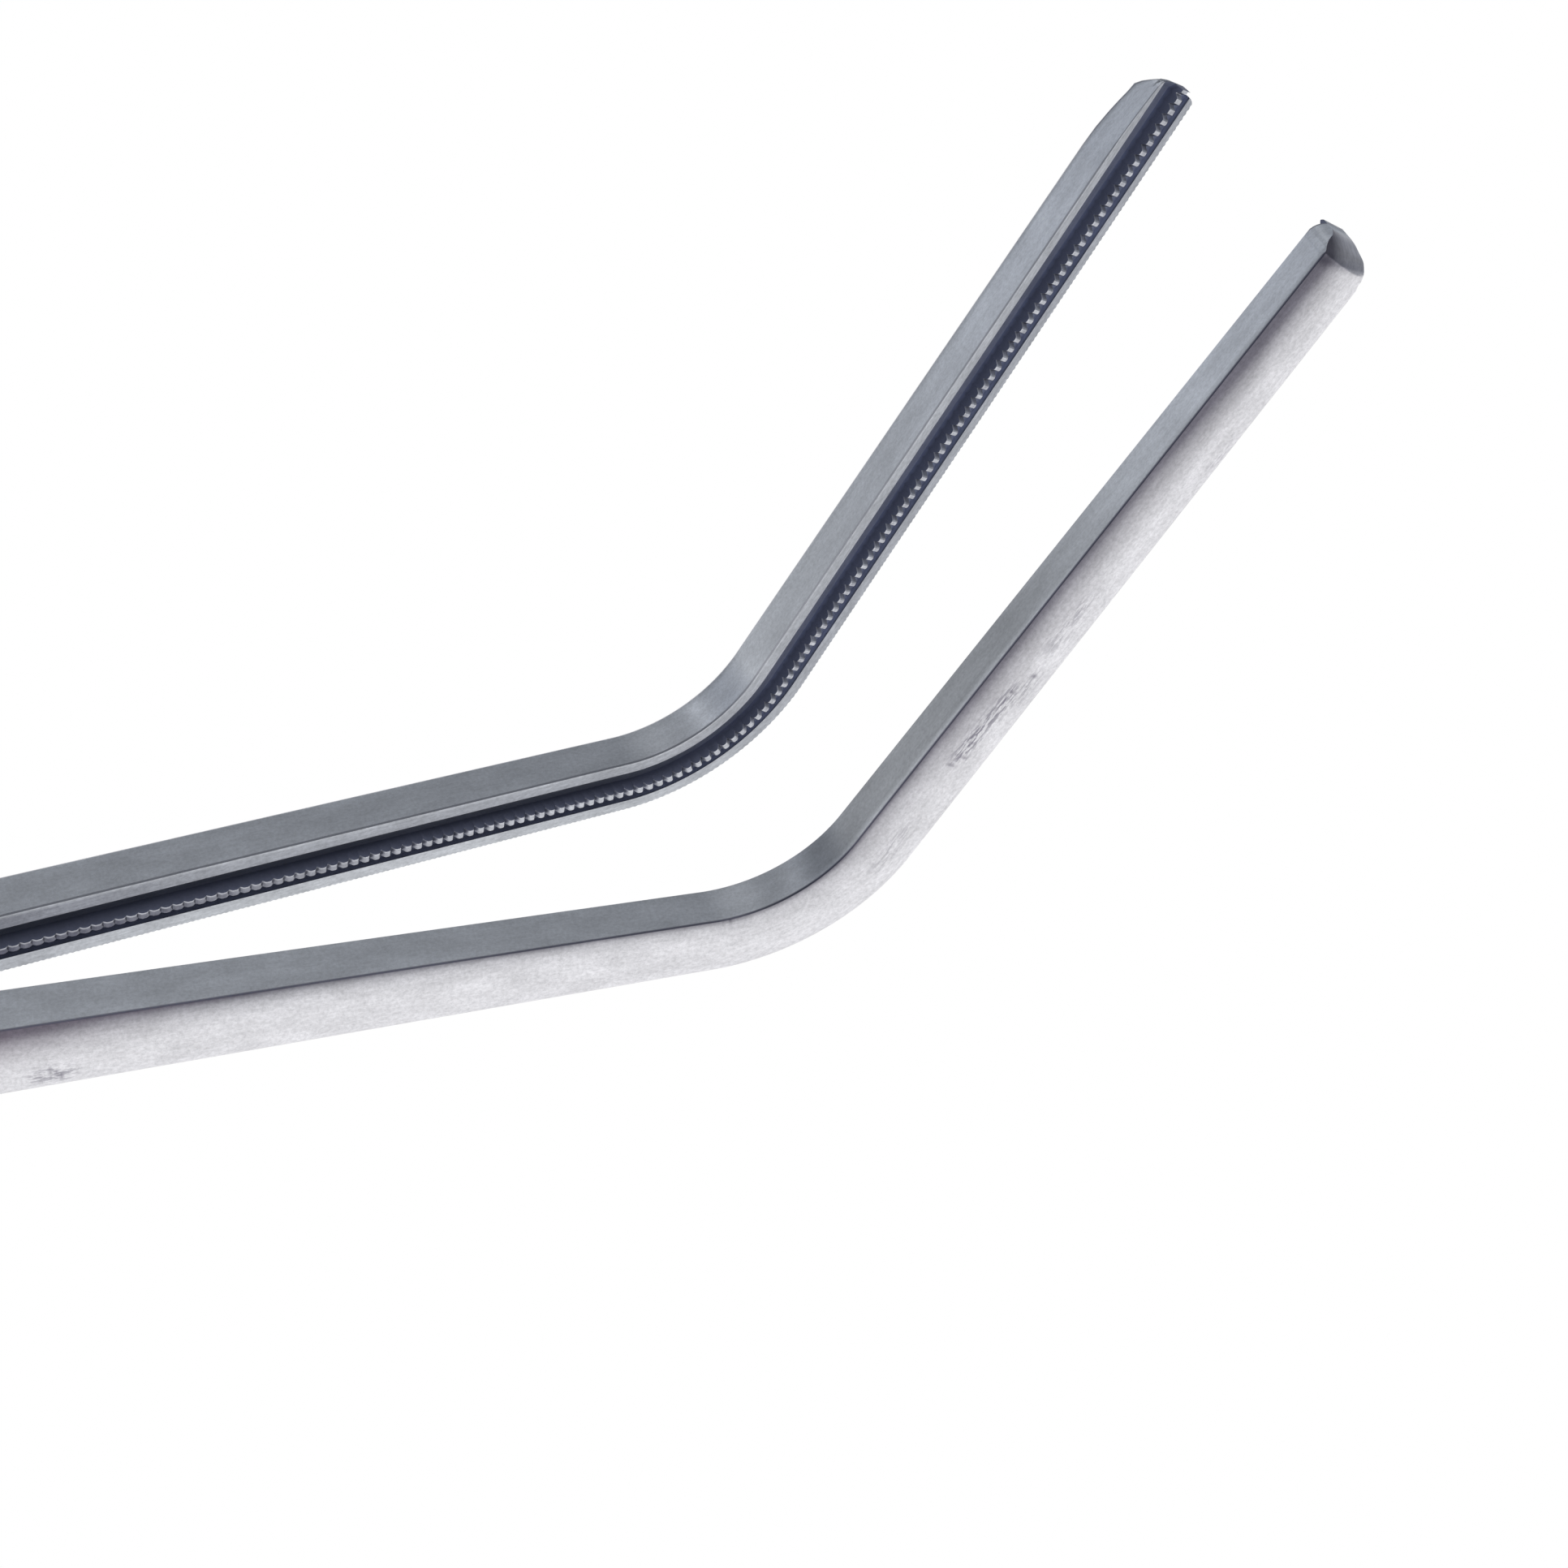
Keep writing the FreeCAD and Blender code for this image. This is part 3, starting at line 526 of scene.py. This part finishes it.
def tube_mesh(name, points, materials, columns, uv=None, tone=None, caps=True):
    """A mesh from rows of closed sections, with a face between each point, its neighbours to the right and
    in the next row, and the point across from it. It is wound so that the sum of a . (b x c) over its
    triangles, six times its volume, is positive. columns gives the material number of each strip between
    two columns."""
    rows, around = points.shape[:2]
    index = np.arange(rows * around).reshape(rows, around)
    right = np.roll(index, -1, 1)
    quads = np.stack([index[:-1], right[:-1], right[1:], index[1:]], -1).reshape(-1, 4)
    a, b, c, d = (points.reshape(-1, 3)[quads[:, k]] for k in range(4))
    volume = (np.cross(b - a, c - a) * a).sum() + (np.cross(c - a, d - a) * a).sum()
    ends = [index[0][::-1].tolist(), index[-1].tolist()] if caps else []
    if volume < 0:
        quads = quads[:, ::-1]
        ends = [face[::-1] for face in ends]
    mesh = bpy.data.meshes.new(name)
    mesh.from_pydata((points.reshape(-1, 3) * MM).tolist(), [], quads.tolist() + ends)
    for material in materials:
        mesh.materials.append(material)
    numbers = np.tile(columns, rows - 1).tolist() + [columns[0]] * len(ends)
    mesh.polygons.foreach_set("material_index", numbers)
    if uv is not None:
        layer = mesh.uv_layers.new(name="grain")
        corner = np.empty(len(mesh.loops), np.int32)
        mesh.loops.foreach_get("vertex_index", corner)
        layer.data.foreach_set("uv", uv.reshape(-1, 2)[corner].astype(np.float32).ravel())
    if tone is not None:
        colour = mesh.color_attributes.new("tone", "FLOAT_COLOR", "POINT")
        colour.data.foreach_set("color", tone.astype(np.float32).ravel())
    mesh.shade_smooth()
    mesh.set_sharp_from_angle(angle=SHARP_ANGLE)
    return mesh


def finish_piece(obj, half):
    """Places a piece in the scene as a part of its half of the clamp."""
    body = f"{half}_side"
    node_name = f"{half}_half"
    bpy.context.scene.collection.objects.link(obj)
    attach(obj, body)
    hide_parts(node_name)


def jaw(half, sign):
    """A jaw: its sections carried along the path, where width w and depth d turn with the direction t into
    (x - w sin t, depth, z + w cos t), and the whole swung open. The male half holds the far jaw."""
    far = sign > 0
    place = jaw_places(far)
    w, d, zone = jaw_section(place, far)
    w, d = shaped_tip(place, w, d, far)
    x, z, turn = (axis[:, None] for axis in path(place))
    points = np.stack([x - w * np.sin(turn), sign * (FACE_GAP + d), z + w * np.cos(turn)], -1)
    steps = np.hypot(np.diff(w[SAMPLE_ROW]), np.diff(d[SAMPLE_ROW]))
    around = np.concatenate([[0], np.cumsum(steps)])
    uv = np.stack(np.broadcast_arrays(place[:, None], around[None, :]), -1)
    tone = jaw_light_and_marks(place, w, d, zone, far)
    order = ["side", "back", "land", "channel", "ridge", "crest", "edge"]
    columns = np.array([order.index(name) for name in zone])
    name = f"{half}_jaw"
    points = turned(points, sign * HALF_OPENING)
    mesh = tube_mesh(name, points, [STEELS[key] for key in order], columns, uv, tone)
    finish_piece(bpy.data.objects.new(name, mesh), half)


def shank_y(place):
    """Distance of the shank's straight centre line from the middle."""
    share = (place - LOCK_HALF_LENGTH) / (SHANK_END - LOCK_HALF_LENGTH)
    return SHANK_ROOT_Y + (SHANK_END_Y - SHANK_ROOT_Y) * share


def shank_sizes(place):
    """Width, height and corner round of the shank at each place, straight between SHANK_SECTIONS."""
    return [np.interp(place, SHANK_SECTIONS[:, 0], column) for column in SHANK_SECTIONS.T[1:]]


def shank_points(side):
    """Handle bar: rounded rectangles along the shank's centre line. Each is four quarter circles, whose
    centres stand half the width and half the height less the round from the middle."""
    place = np.linspace(LOCK_HALF_LENGTH - SHANK_OVERLAP, SHANK_END, SHANK_ROWS)[:, None]
    width, height, corner = shank_sizes(place)
    angle = np.linspace(0, 2 * math.pi, SHANK_COLUMNS, endpoint=False) + math.pi / SHANK_COLUMNS
    reach_y = (width / 2 - corner) * np.sign(np.cos(angle)) + corner * np.cos(angle)
    reach_z = (height / 2 - corner) * np.sign(np.sin(angle)) + corner * np.sin(angle)
    x = np.broadcast_to(-place, reach_y.shape)
    return np.stack([x, side * shank_y(place) + reach_y, MID + reach_z], -1)


def ring_points(side):
    """Finger ring: an upright ellipse turned round an upright axis at RING_RADIUS, its first row repeated
    at the end."""
    turn = np.linspace(0, 2 * math.pi, RING_ROWS, endpoint=False)[:, None]
    round_rod = np.linspace(0, 2 * math.pi, RING_COLUMNS, endpoint=False)[None, :]
    radius = RING_RADIUS + RING_ROD_WIDTH / 2 * np.cos(round_rod)
    z = np.broadcast_to(MID + RING_ROD_HEIGHT / 2 * np.sin(round_rod), (RING_ROWS, RING_COLUMNS))
    ring = np.stack([-RING_PLACE + radius * np.cos(turn), side * RING_Y + radius * np.sin(turn), z], -1)
    return np.concatenate([ring, ring[:1]], 0)


def handle(half, sign):
    """Shank and ring flowed into one forging: the two are merged on a fine voxel grid and smoothed."""
    name = f"{half}_handle"
    shank = turned(shank_points(-sign), sign * HALF_OPENING)
    ring = turned(ring_points(-sign), sign * HALF_OPENING)
    parts = [tube_mesh(f"{name}_bar", shank, [], np.zeros(SHANK_COLUMNS, int)),
             tube_mesh(f"{name}_loop", ring, [], np.zeros(RING_COLUMNS, int), caps=False)]
    joined = bmesh.new()
    for part in parts:
        joined.from_mesh(part)
    bmesh.ops.remove_doubles(joined, verts=joined.verts, dist=FINE_WELD)
    bmesh.ops.recalc_face_normals(joined, faces=joined.faces)
    mesh = bpy.data.meshes.new(name)
    joined.to_mesh(mesh)
    obj = bpy.data.objects.new(name, mesh)
    bpy.context.scene.collection.objects.link(obj)
    remesh = obj.modifiers.new("merge", "REMESH")
    remesh.mode = "VOXEL"
    remesh.voxel_size = VOXEL * MM
    relax = obj.modifiers.new("relax", "SMOOTH")
    relax.iterations = RELAX_STEPS
    merged = bpy.data.meshes.new_from_object(obj.evaluated_get(bpy.context.evaluated_depsgraph_get()))
    bpy.data.objects.remove(obj)
    merged.name = name
    merged.materials.append(STEELS["handle"])
    merged.shade_smooth()
    for part in parts:
        bpy.data.meshes.remove(part)
    finish_piece(bpy.data.objects.new(name, merged), half)


def ratchet(half, sign):
    """Catch bar across the middle, with saw teeth on the face toward the other bar: an outline of the bar
    and its teeth, drawn along the shank."""
    name = f"{half}_ratchet"
    side, layer = -sign, sign
    centre = shank_y(RATCHET_PLACE)
    reach = centre - shank_sizes(RATCHET_PLACE)[0] / 2 - RATCHET_END_GAP
    root = MID + layer * (RATCHET_GAP + RATCHET_TOOTH)
    back = root + layer * RATCHET_BAR
    outline = [(-side * reach, back), (side * centre, back), (side * centre, root)]
    for k in reversed(range(RATCHET_TEETH)):
        start = side * (RATCHET_PITCH * k - reach)
        outline += [(start + side * RATCHET_PITCH, root), (start, root - layer * RATCHET_TOOTH)]
    outline.append((-side * reach, root))
    section = np.array(outline)
    ends = (-RATCHET_PLACE - RATCHET_WIDTH / 2, -RATCHET_PLACE + RATCHET_WIDTH / 2)
    points = np.stack([np.column_stack([np.full(len(section), x), section]) for x in ends])
    points = turned(points, sign * HALF_OPENING)
    mesh = tube_mesh(name, points, [STEELS["handle"]], np.zeros(len(section), int))
    obj = bpy.data.objects.new(name, mesh)
    bevel = obj.modifiers.new("soft edges", "BEVEL")
    bevel.width = RATCHET_BEVEL * MM
    bevel.segments = 2
    bevel.limit_method = "ANGLE"
    finish_piece(obj, half)


def lock(half, sign):
    """The lock's part of a half: a copy of the solid between its two ends, with softened edges."""
    mesh = bmesh.new()
    mesh.from_mesh(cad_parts[f"{half}_half"].data)
    bmesh.ops.remove_doubles(mesh, verts=mesh.verts, dist=WELD)
    mesh.transform(Matrix.Rotation(-sign * HALF_OPENING, 4, "Z"))
    limit = LOCK_HALF_LENGTH * MM
    for end in (1, -1):
        geometry = mesh.verts[:] + mesh.edges[:] + mesh.faces[:]
        cut = bmesh.ops.bisect_plane(mesh, geom=geometry, plane_co=(end * limit, 0, 0), plane_no=(end, 0, 0),
                                     clear_outer=True, dist=FINE_WELD)
        rim = [e for e in cut["geom_cut"] if isinstance(e, bmesh.types.BMEdge)]
        bmesh.ops.contextual_create(mesh, geom=rim)
    bmesh.ops.dissolve_limit(mesh, angle_limit=FLAT_ANGLE, verts=mesh.verts, edges=mesh.edges)
    bmesh.ops.recalc_face_normals(mesh, faces=mesh.faces)
    sharp = [e for e in mesh.edges if len(e.link_faces) == 2 and e.calc_face_angle() > BEVEL_ANGLE
             and not all(abs(abs(v.co.x) - limit) < WELD for v in e.verts)]
    bmesh.ops.bevel(mesh, geom=sharp, offset=LOCK_BEVEL * MM, segments=2, profile=0.5, affect="EDGES",
                    clamp_overlap=True)
    mesh.transform(Matrix.Rotation(sign * HALF_OPENING, 4, "Z"))
    name = f"{half}_lock"
    data = bpy.data.meshes.new(name)
    mesh.to_mesh(data)
    data.materials.clear()
    data.materials.append(STEELS["handle"])
    data.shade_smooth()
    data.set_sharp_from_angle(angle=SHARP_ANGLE)
    finish_piece(bpy.data.objects.new(name, data), half)


def node(tree, kind, inputs=(), **settings):
    """A shader node with its settings, whose inputs are linked to sockets or set to values."""
    made = tree.nodes.new(kind)
    for prop, setting in settings.items():
        setattr(made, prop, setting)
    for socket, given in dict(inputs).items():
        if isinstance(given, bpy.types.NodeSocket):
            tree.links.new(given, made.inputs[socket])
        else:
            made.inputs[socket].default_value = given
    return made


def ramp(tree, factor, stops):
    """A colour ramp whose stops are pairs of a position and a grey level or a colour."""
    made = node(tree, "ShaderNodeValToRGB", {"Fac": factor})
    while len(made.color_ramp.elements) < len(stops):
        made.color_ramp.elements.new(0.5)
    for element, (place, level) in zip(made.color_ramp.elements, stops):
        element.position = place
        element.color = (*level, 1) if isinstance(level, tuple) else (level, level, level, 1)
    return made.outputs["Color"]


def steel(name, tint, rough, coordinates="UV", grain=0.12, mottling=0.1, fleck=0.1, metal=1.0,
          brush=(2.2, 3.4)):
    """Satin surgical steel: fine lengthwise grain, faint blotches, short brush flecks, and a roughness and
    relief that follow the grain. On the jaws it takes their painted light and shade with the small marks,
    and is scratched where they are scuffed."""
    material = bpy.data.materials.new(name)
    material.use_nodes = True
    tree = material.node_tree
    shader = tree.nodes["Principled BSDF"]
    source = node(tree, "ShaderNodeTexCoord").outputs[coordinates]
    on_map = coordinates == "UV"

    def pattern(along, across, detail, roughness):
        """Noise with so many waves to a millimetre along the piece and across it."""
        scale = (along, across, 1.0) if on_map else (along / MM, across / MM, across / MM)
        stretched = node(tree, "ShaderNodeMapping", {"Vector": source, "Scale": scale}).outputs[0]
        noise = node(tree, "ShaderNodeTexNoise", {"Vector": stretched, "Scale": 1.0, "Detail": detail,
                                                  "Roughness": roughness})
        return noise.outputs["Fac"]

    def multiply(first, second):
        """The product of two colours."""
        return node(tree, "ShaderNodeMixRGB", {"Fac": 1.0, "Color1": first, "Color2": second},
                    blend_type="MULTIPLY").outputs[0]

    streaks = pattern(along=0.35, across=9.0, detail=6.0, roughness=0.7)
    blotches = pattern(along=0.25, across=0.6, detail=8.0, roughness=0.65)
    flecks = pattern(*brush, detail=5.0, roughness=0.75)
    colour = multiply(ramp(tree, streaks, [(0.3, 1 - grain), (0.7, 1.0)]), (*tint, 1))
    colour = multiply(colour, ramp(tree, blotches, [(0.35, 1 - mottling), (0.65, 1.0)]))
    colour = multiply(colour, ramp(tree, flecks, [(0.35, 1 - fleck), (0.62, 1.0)]))
    if on_map:
        # The jaws' painted light and shade with the small marks, and how scuffed they are
        painted = node(tree, "ShaderNodeVertexColor", layer_name="tone")
        colour = multiply(colour, painted.outputs["Color"])
        hairs = pattern(along=0.75, across=4.2, detail=7.0, roughness=0.7)
        scratches = ramp(tree, hairs, [(0.48, 0.0), (0.54, 1.0)])
        amount = node(tree, "ShaderNodeMath", {0: painted.outputs["Alpha"], 1: scratches},
                      operation="MULTIPLY").outputs[0]
        colour = node(tree, "ShaderNodeMixRGB", {"Fac": amount, "Color1": colour,
                                                 "Color2": SCRATCH_TINT}).outputs[0]
    tree.links.new(colour, shader.inputs["Base Color"])
    shader.inputs["Metallic"].default_value = metal
    level = node(tree, "ShaderNodeMapRange", {"Value": streaks, "From Min": 0.3, "From Max": 0.7,
                                              "To Min": rough + 0.07, "To Max": rough - 0.05})
    tree.links.new(level.outputs[0], shader.inputs["Roughness"])
    bump = node(tree, "ShaderNodeBump", {"Height": streaks, "Strength": 0.15, "Distance": 0.02 * MM})
    tree.links.new(bump.outputs[0], shader.inputs["Normal"])
    return material


def white_material():
    """White seen from the camera and in the steel, fading outward in the steel, and plain white paint to
    every other ray, so that the table keeps the clamp's shadow."""
    white = bpy.data.materials.new("white_table")
    white.use_nodes = True
    tree = white.node_tree
    ray = node(tree, "ShaderNodeLightPath").outputs
    either = node(tree, "ShaderNodeMath", {0: ray["Is Camera Ray"], 1: ray["Is Glossy Ray"]},
                  operation="MAXIMUM")
    spot = node(tree, "ShaderNodeTexCoord").outputs["Object"]
    distance = node(tree, "ShaderNodeVectorMath", {0: spot}, operation="LENGTH").outputs["Value"]
    fading = node(tree, "ShaderNodeMapRange", {"Value": distance, "From Min": 0.2, "From Max": 0.45,
                                               "To Min": 1.0, "To Max": 0.7})
    level = node(tree, "ShaderNodeMath", {0: fading.outputs[0], 1: ray["Is Camera Ray"]},
                 operation="MAXIMUM")
    glow = node(tree, "ShaderNodeEmission", {"Color": (1, 1, 1, 1), "Strength": level.outputs[0]})
    paint = tree.nodes["Principled BSDF"]
    paint.inputs["Base Color"].default_value = (0.9, 0.9, 0.9, 1)
    paint.inputs["Roughness"].default_value = 0.8
    mix = node(tree, "ShaderNodeMixShader", {0: either.outputs[0], 1: paint.outputs[0], 2: glow.outputs[0]})
    tree.links.new(mix.outputs[0], tree.nodes["Material Output"].inputs["Surface"])
    return white


def white_table(radius=3.0, centre=0.05, drop=0.0002, points=96):
    """The table: a disc whose rim points lie at equal angles on a circle just under the clamp."""
    angle = np.linspace(0, 2 * math.pi, points, endpoint=False)
    rim = np.stack([centre + radius * np.cos(angle), radius * np.sin(angle), 0 * angle - drop], -1)
    mesh = bpy.data.meshes.new("table")
    mesh.from_pydata(rim.tolist(), [], [list(range(points))])
    mesh.materials.append(white_material())
    floor = bpy.data.objects.new("table", mesh)
    bpy.context.scene.collection.objects.link(floor)


def dim_room():
    """A grey room, lighter below, that the camera sees as white."""
    world = bpy.data.worlds.new("room")
    bpy.context.scene.world = world
    world.use_nodes = True
    tree = world.node_tree
    direction = node(tree, "ShaderNodeTexCoord").outputs["Generated"]
    height = node(tree, "ShaderNodeSeparateXYZ", {0: direction}).outputs["Z"]
    grey = ramp(tree, height, [(0.0, (0.4, 0.42, 0.46)), (0.35, (0.3, 0.315, 0.35)),
                               (0.6, (0.235, 0.245, 0.26)), (1.0, (0.25, 0.26, 0.28))])
    ray = node(tree, "ShaderNodeLightPath").outputs["Is Camera Ray"]
    seen = node(tree, "ShaderNodeMixRGB", {"Fac": ray, "Color1": grey, "Color2": (1, 1, 1, 1)})
    tree.links.new(seen.outputs[0], tree.nodes["Background"].inputs["Color"])


def soft_light(name, place, size, power, target=(0.06, 0.0, 0.02)):
    """A square lamp that faces the target: its third axis is the unit vector from the target to the lamp,
    its first is level, and its second is square to both."""
    data = bpy.data.lights.new(name, "AREA")
    data.shape = "SQUARE"
    data.size = size
    data.energy = power
    light = bpy.data.objects.new(name, data)
    bpy.context.scene.collection.objects.link(light)
    back = np.array(place) - np.array(target)
    back = back / np.linalg.norm(back)
    side = np.cross([0, 0, 1], back)
    side = side / np.linalg.norm(side)
    up = np.cross(back, side)
    turn = Matrix(np.column_stack([side, up, back]).tolist()).to_4x4()
    light.matrix_world = Matrix.Translation(place) @ turn


def photo_camera():
    """Camera where the photograph was taken from, with its right, up and back axes."""
    place = (0.023274, -0.118437, 0.135659)
    right = (0.904993, -0.398012, 0.150247)
    up = (0.174187, 0.668872, 0.722682)
    back = (-0.388132, -0.627851, 0.674653)
    data = bpy.data.cameras.new("camera")
    data.sensor_width = 36.0
    data.lens = 59.46
    data.clip_start = 0.005
    data.clip_end = 10.0
    camera = bpy.data.objects.new("camera", data)
    bpy.context.scene.collection.objects.link(camera)
    turn = Matrix(np.column_stack([right, up, back]).tolist()).to_4x4()
    camera.matrix_world = Matrix.Translation(place) @ turn
    bpy.context.scene.camera = camera


# Steel of each zone of the jaws, of the handles with the lock, and of the pin. The jaws' channels, tooth
# flanks and rails, and edges take darker tints of the steel as painted shade
STEELS = {
    "side": steel("steel_side", (0.69, 0.72, 0.77), 0.38, grain=0.06, mottling=0.18, fleck=0.2,
                  brush=(3.4, 4.4)),
    "back": steel("steel_back", (0.965, 0.96, 1.0), 0.32, grain=0.08, mottling=0.18, fleck=0.24,
                  brush=(3.0, 3.6)),
    "land": steel("steel_land", (0.74, 0.77, 0.82), 0.38, grain=0.2, mottling=0.2, fleck=0.25),
    # Dark channel and tooth flanks: painted shade in the recesses
    "channel": steel("steel_channel", (0.24, 0.26, 0.34), 0.45, grain=0.15, mottling=0.2, metal=0.15),
    "ridge": steel("steel_teeth", (0.2, 0.22, 0.32), 0.42, metal=0.5),
    "crest": steel("steel_tooth_tops", (0.72, 0.74, 0.8), 0.3, fleck=0.35),
    # Darker edges: painted shade
    "edge": steel("steel_edge", (0.5, 0.51, 0.56), 0.3),
    "handle": steel("steel_handle", (0.72, 0.73, 0.77), 0.33, coordinates="Object"),
    "pin": steel("steel_pin", (0.6, 0.61, 0.65), 0.28, coordinates="Object"),
}

# The pieces of both halves. sign is the side of Y on which a half's jaw lies; its handle lies on the other.
for make_piece in (jaw, lock, handle, ratchet):
    for half, sign in (("male", 1), ("female", -1)):
        make_piece(half, sign)
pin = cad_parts["pivot_pin"]
pin.data.materials.clear()
pin.data.materials.append(STEELS["pin"])

white_table()
dim_room()
soft_light("window", place=(-0.28, 0.42, 0.46), size=0.11, power=0.07)
soft_light("overhead", place=(0.1, 0.05, 0.8), size=0.8, power=1.6)
photo_camera()
bpy.context.scene.view_settings.view_transform = "Standard"
